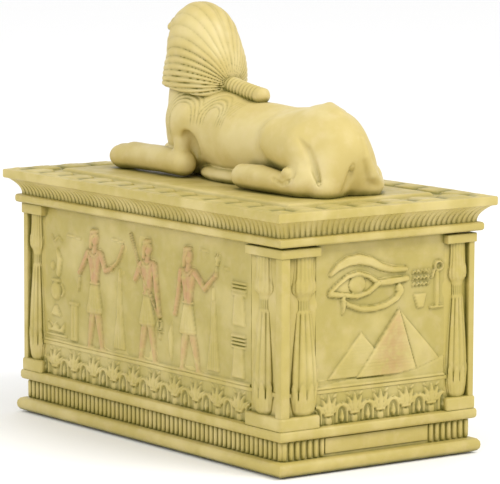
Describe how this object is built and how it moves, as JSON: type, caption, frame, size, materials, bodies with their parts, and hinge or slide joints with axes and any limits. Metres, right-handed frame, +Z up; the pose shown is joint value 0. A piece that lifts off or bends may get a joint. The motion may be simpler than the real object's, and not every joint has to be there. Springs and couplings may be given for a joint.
{
  "type": "bubbling ornament",
  "caption": "Ancient-style relief casket with a lift-off lid carrying a reclining sphinx, with an air inlet and air stone inside.",
  "frame": {"origin": "centre of the footprint at the surface that the ornament stands on", "axes": "+X along the casket away from the sphinx's face, +Y to the casket's back where the airline enters, +Z up"},
  "size_m": [0.1668, 0.0928, 0.151],
  "materials": {
    "casket_resin": "cast resin, pale yellow with an olive wash in the recesses",
    "lid_resin": "cast resin, pale yellow with creamy rims",
    "sphinx_resin": "cast resin, hand rubbed",
    "pad_rubber": "soft dark rubber",
    "fitting_plastic": "moulded dark plastic",
    "seal_rubber": "flat rubber washer",
    "sleeve_silicone": "milky soft silicone",
    "air_stone": "sintered grit",
    "cradle_plastic": "moulded dark plastic"
  },
  "bodies": {
    "case": {"case_shell": "casket_resin", "foot_pad_front_left": "pad_rubber", "foot_pad_front_right": "pad_rubber", "foot_pad_rear_left": "pad_rubber", "foot_pad_rear_right": "pad_rubber", "inlet_elbow": "fitting_plastic", "inlet_washer": "seal_rubber", "inlet_nut": "fitting_plastic", "coupling_sleeve": "sleeve_silicone", "stone_end_cap": "fitting_plastic", "air_stone": "air_stone", "stone_cradle_inner": "cradle_plastic", "stone_cradle_outer": "cradle_plastic"},
    "lid": {"lid_casting": "lid_resin", "sphinx_figure": "sphinx_resin"}
  },
  "joints": [
    {"name": "lid_lift", "type": "slide", "parent": "case", "child": "lid", "axis": [0, 0, 1], "range_m": [0, 0.045]}
  ]
}
